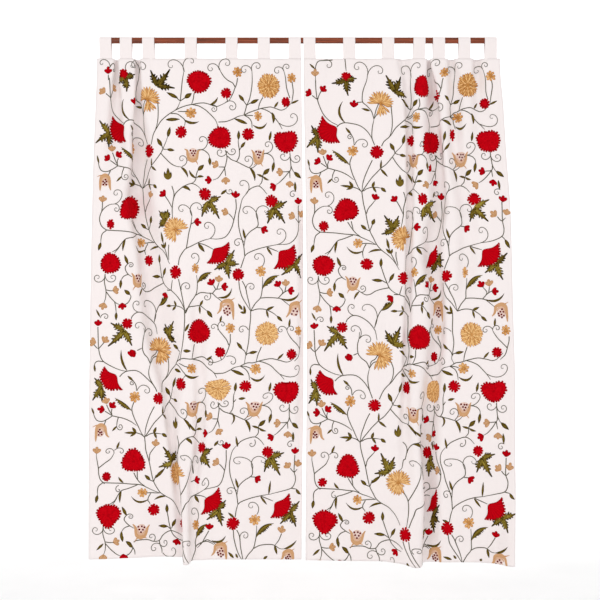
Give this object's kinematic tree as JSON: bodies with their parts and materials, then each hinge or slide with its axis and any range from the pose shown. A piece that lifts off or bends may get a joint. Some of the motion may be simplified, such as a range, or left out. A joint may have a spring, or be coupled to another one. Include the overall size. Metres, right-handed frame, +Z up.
{
  "type": "pair of embroidered tab-top curtains on a wooden rod",
  "caption": "Pair of floral crewel-embroidered cotton curtains hanging in soft folds by fabric tabs from one round wooden rod.",
  "frame": {"origin": "on the rod's axis, halfway along the rod, where wall brackets would hold it", "axes": "+X along the rod to the viewer's right, +Z up, the room and the embroidered face at -Y"},
  "size_m": [1.7457, 0.1611, 2.1554],
  "materials": {
    "cotton_cloth": "off-white plain-weave cotton, matt",
    "rod_wood": "reddish brown wood, satin varnish",
    "red_wool": "bright red wool chain stitch",
    "gold_wool": "gold wool chain stitch",
    "tan_wool": "pale tan wool chain stitch",
    "leaf_wool": "olive green wool chain stitch",
    "vine_wool": "grey olive wool chain stitch"
  },
  "bodies": {
    "root": {"rod": "rod_wood", "curtain_left": "cotton_cloth", "curtain_right": "cotton_cloth", "tab_left_1": "cotton_cloth", "tab_left_2": "cotton_cloth", "tab_left_3": "cotton_cloth", "tab_left_4": "cotton_cloth", "tab_left_5": "cotton_cloth", "tab_left_6": "cotton_cloth", "tab_left_7": "cotton_cloth", "tab_right_1": "cotton_cloth", "tab_right_2": "cotton_cloth", "tab_right_3": "cotton_cloth", "tab_right_4": "cotton_cloth", "tab_right_5": "cotton_cloth", "tab_right_6": "cotton_cloth", "tab_right_7": "cotton_cloth"}
  },
  "joints": []
}
